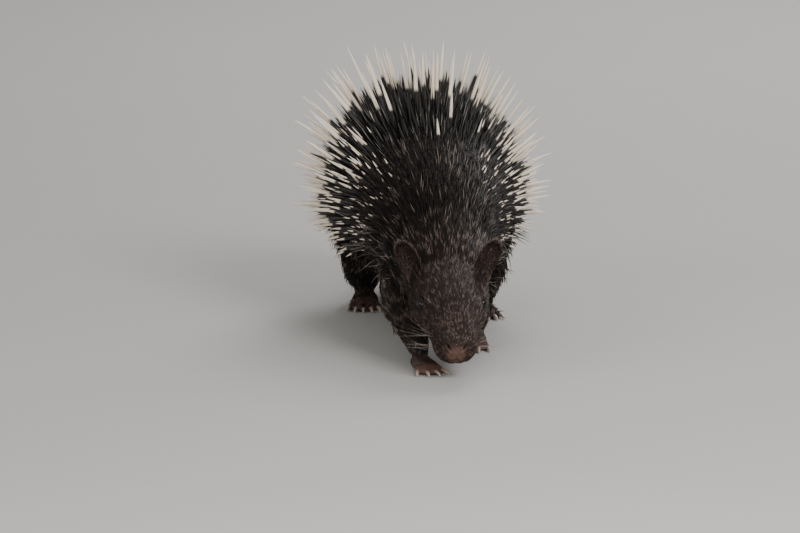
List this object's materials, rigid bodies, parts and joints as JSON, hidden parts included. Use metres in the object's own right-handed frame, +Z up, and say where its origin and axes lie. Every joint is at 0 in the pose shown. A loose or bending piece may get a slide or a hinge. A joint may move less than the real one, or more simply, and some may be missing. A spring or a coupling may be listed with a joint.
{
  "type": "porcupine",
  "caption": "Life-size walking Old World porcupine, head lowered, with raised dark quills ending in long pale points.",
  "frame": {"origin": "on the floor under the middle of the whole model's box", "axes": "+Z up, -Y towards the nose, +X towards the animal's left side"},
  "size_m": [0.2588, 0.6058, 0.2658],
  "materials": {
    "quill_coat": "dark brown-black quills with ivory points",
    "dark_fur": "short dark brown bristly fur",
    "face_fur": "short brown fur, paler and pinkish at the nose",
    "foot_skin": "bare brown sole and toe skin with short hair",
    "claw_horn": "horn",
    "eye_black": "wet dark eye"
  },
  "bodies": {
    "root": {"head": "face_fur", "ear_left": "dark_fur", "ear_right": "dark_fur", "eye_left": "eye_black", "eye_right": "eye_black", "neck": "dark_fur", "torso": "quill_coat", "tail": "quill_coat", "foreleg_left": "dark_fur", "foreleg_right": "dark_fur", "hindleg_left": "dark_fur", "hindleg_right": "dark_fur", "forepaw_left": "foot_skin", "forepaw_left_claw_1": "claw_horn", "forepaw_left_claw_2": "claw_horn", "forepaw_left_claw_3": "claw_horn", "forepaw_left_claw_4": "claw_horn", "forepaw_right": "foot_skin", "forepaw_right_claw_1": "claw_horn", "forepaw_right_claw_2": "claw_horn", "forepaw_right_claw_3": "claw_horn", "forepaw_right_claw_4": "claw_horn", "hindpaw_left": "foot_skin", "hindpaw_left_claw_1": "claw_horn", "hindpaw_left_claw_2": "claw_horn", "hindpaw_left_claw_3": "claw_horn", "hindpaw_left_claw_4": "claw_horn", "hindpaw_left_claw_5": "claw_horn", "hindpaw_right": "foot_skin", "hindpaw_right_claw_1": "claw_horn", "hindpaw_right_claw_2": "claw_horn", "hindpaw_right_claw_3": "claw_horn", "hindpaw_right_claw_4": "claw_horn", "hindpaw_right_claw_5": "claw_horn"}
  },
  "joints": []
}
